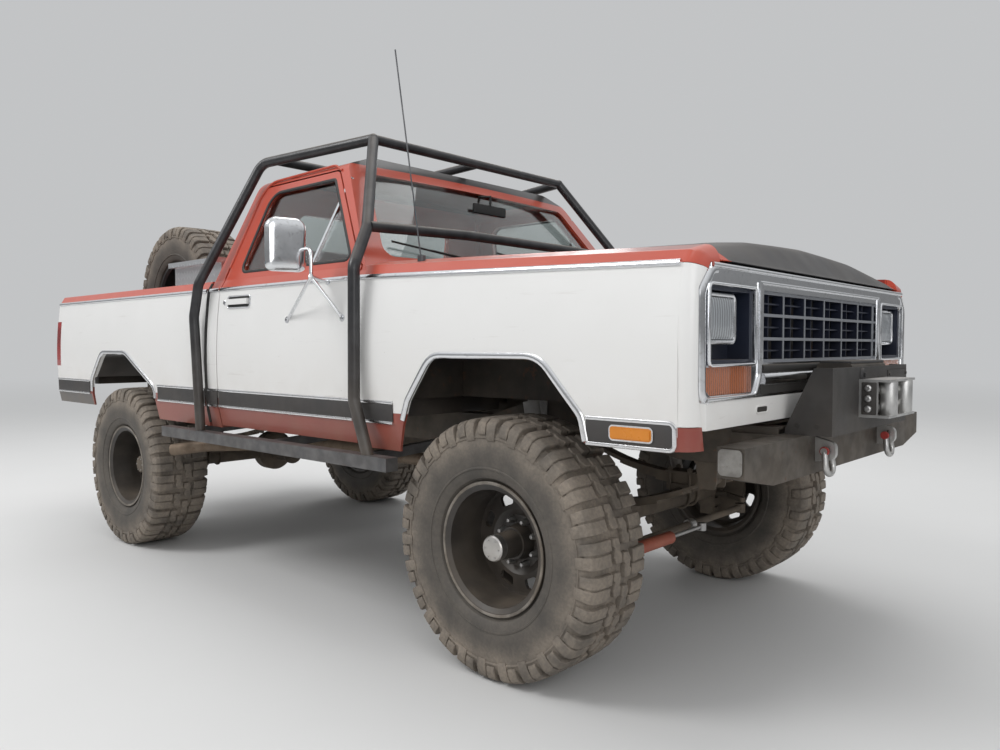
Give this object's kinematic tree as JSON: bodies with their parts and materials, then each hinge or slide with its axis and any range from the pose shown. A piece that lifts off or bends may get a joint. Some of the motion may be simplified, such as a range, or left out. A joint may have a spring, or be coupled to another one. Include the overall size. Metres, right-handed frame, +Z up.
{
  "type": "lifted off-road 4x4 pickup truck",
  "caption": "Lifted regular-cab 4x4 pickup with wide mud tyres on deep steel wheels, tube cage, side sliders, winch bumper, opening doors, hood and tailgate, and steered front wheels",
  "frame": {"origin": "on the floor below the middle of the overall box, sliders and wheels level", "axes": "+X points forward to the winch, +Y to the truck's left, +Z up"},
  "size_m": [5.001, 2.496, 2.3425],
  "materials": {
    "body_paint": "two-tone enamel, white sides with orange-red above and dark red below, dusty",
    "hood_black": "satin black over the hood centre, orange-red edges",
    "cage_black": "satin black tube, rubbed and dusty",
    "frame_black": "black chassis paint with rust and dust",
    "worn_steel": "bare plate, scraped and lightly rusted",
    "winch_plate": "dark grey textured coat",
    "chrome": "chromed pressing, pitted low down",
    "grille_plastic": "navy-black moulding with grey edges",
    "lamp_clear": "fluted lens in a dark bucket",
    "lamp_amber": "amber moulded lens",
    "lamp_red": "red moulded lens",
    "glass": "clear, dusty",
    "tyre_rubber": "black rubber under tan dust",
    "wheel_black": "black steel wheel, silver ring wear and dust",
    "cast_metal": "cast housings, black paint, oil and dust",
    "shock_silver": "silver damper body",
    "spring_steel": "dark leaf steel with rust",
    "vinyl": "dark red bench vinyl",
    "dash_plastic": "dark padded moulding",
    "aluminium_plate": "bare sheet with raised tread pattern",
    "polished_steel": "polished stainless shell",
    "zinc": "zinc-plated forgings and rollers",
    "exhaust_steel": "heat-dulled steel, rust-brown"
  },
  "bodies": {
    "root": {"chassis_frame": "frame_black", "body_mounts": "dash_plastic", "hitch_receiver": "frame_black", "front_axle": "cast_metal", "rear_axle": "cast_metal", "leaf_springs": "spring_steel", "shock_absorbers": "shock_silver", "engine_block": "cast_metal", "gearbox": "cast_metal", "drive_shafts": "cast_metal", "exhaust": "exhaust_steel", "fuel_tank": "frame_black", "cab_shell": "body_paint", "fender_left": "body_paint", "fender_right": "body_paint", "inner_fenders": "frame_black", "cab_glass": "glass", "dashboard": "dash_plastic", "bench_seat": "vinyl", "steering_wheel": "dash_plastic", "bed": "body_paint", "bed_side_left": "body_paint", "bed_side_right": "body_paint", "tail_lamps": "lamp_red", "front_surround": "chrome", "grille": "grille_plastic", "headlamps": "lamp_clear", "turn_lamps": "lamp_amber", "valance": "body_paint", "radiator": "frame_black", "front_bumper": "worn_steel", "winch_box": "winch_plate", "winch": "cast_metal", "fairlead": "zinc", "tow_shackles": "zinc", "sliders": "worn_steel", "exo_cage": "cage_black", "antenna": "polished_steel", "tyre_spare": "tyre_rubber", "wheel_spare": "wheel_black", "tool_box": "aluminium_plate"},
    "door_left": {"door_panel_left": "body_paint", "door_glass_left": "glass", "mirror_left": "polished_steel"},
    "door_right": {"door_panel_right": "body_paint", "door_glass_right": "glass", "mirror_right": "polished_steel"},
    "hood_lid": {"hood": "hood_black"},
    "tailgate": {"tailgate_panel": "body_paint"},
    "steer_left": {"knuckle_left": "cast_metal"},
    "steer_right": {"knuckle_right": "cast_metal"},
    "steer_rod": {"tie_rod": "cast_metal"},
    "road_wheel_front_left": {"tyre_front_left": "tyre_rubber", "wheel_front_left": "wheel_black"},
    "road_wheel_front_right": {"tyre_front_right": "tyre_rubber", "wheel_front_right": "wheel_black"},
    "road_wheel_rear_left": {"tyre_rear_left": "tyre_rubber", "wheel_rear_left": "wheel_black"},
    "road_wheel_rear_right": {"tyre_rear_right": "tyre_rubber", "wheel_rear_right": "wheel_black"}
  },
  "joints": [
    {"name": "kingpin_left", "type": "hinge", "parent": "root", "child": "steer_left", "pos_m": [1.4325, 0.68, 0.463], "axis": [0, 0, 1], "range_deg": [-28, 28]},
    {"name": "kingpin_right", "type": "hinge", "parent": "root", "child": "steer_right", "pos_m": [1.4325, -0.68, 0.463], "axis": [0, 0, 1], "range_deg": [-28, 28]},
    {"name": "tie_rod_slide", "type": "slide", "parent": "root", "child": "steer_rod", "axis": [0, 1, 0], "range_m": [-0.0935, 0.0935]},
    {"name": "spin_front_left", "type": "hinge", "parent": "steer_left", "child": "road_wheel_front_left", "pos_m": [1.4325, 0.832, 0.463], "axis": [0, 1, 0], "continuous": true},
    {"name": "spin_front_right", "type": "hinge", "parent": "steer_right", "child": "road_wheel_front_right", "pos_m": [1.4325, -0.832, 0.463], "axis": [0, 1, 0], "continuous": true},
    {"name": "spin_rear_left", "type": "hinge", "parent": "root", "child": "road_wheel_rear_left", "pos_m": [-1.4885, 0.86, 0.463], "axis": [0, 1, 0], "continuous": true},
    {"name": "spin_rear_right", "type": "hinge", "parent": "root", "child": "road_wheel_rear_right", "pos_m": [-1.4885, -0.86, 0.463], "axis": [0, 1, 0], "continuous": true},
    {"name": "door_hinge_left", "type": "hinge", "parent": "root", "child": "door_left", "pos_m": [0.6925, 1, 1.15], "axis": [0, 0, -1], "range_deg": [0, 62]},
    {"name": "door_hinge_right", "type": "hinge", "parent": "root", "child": "door_right", "pos_m": [0.6925, -1, 1.15], "axis": [0, 0, 1], "range_deg": [0, 62]},
    {"name": "hood_hinge", "type": "hinge", "parent": "root", "child": "hood_lid", "pos_m": [0.8765, 0, 1.556], "axis": [0, -1, 0], "range_deg": [0, 50]},
    {"name": "tailgate_hinge", "type": "hinge", "parent": "root", "child": "tailgate", "pos_m": [-2.4725, 0, 0.995], "axis": [0, -1, 0], "range_deg": [0, 90]}
  ],
  "couplings": [
    {"joint": "kingpin_right", "follows": "kingpin_left", "ratio": 1},
    {"joint": "tie_rod_slide", "follows": "kingpin_left", "m_per_rad": 0.19}
  ]
}
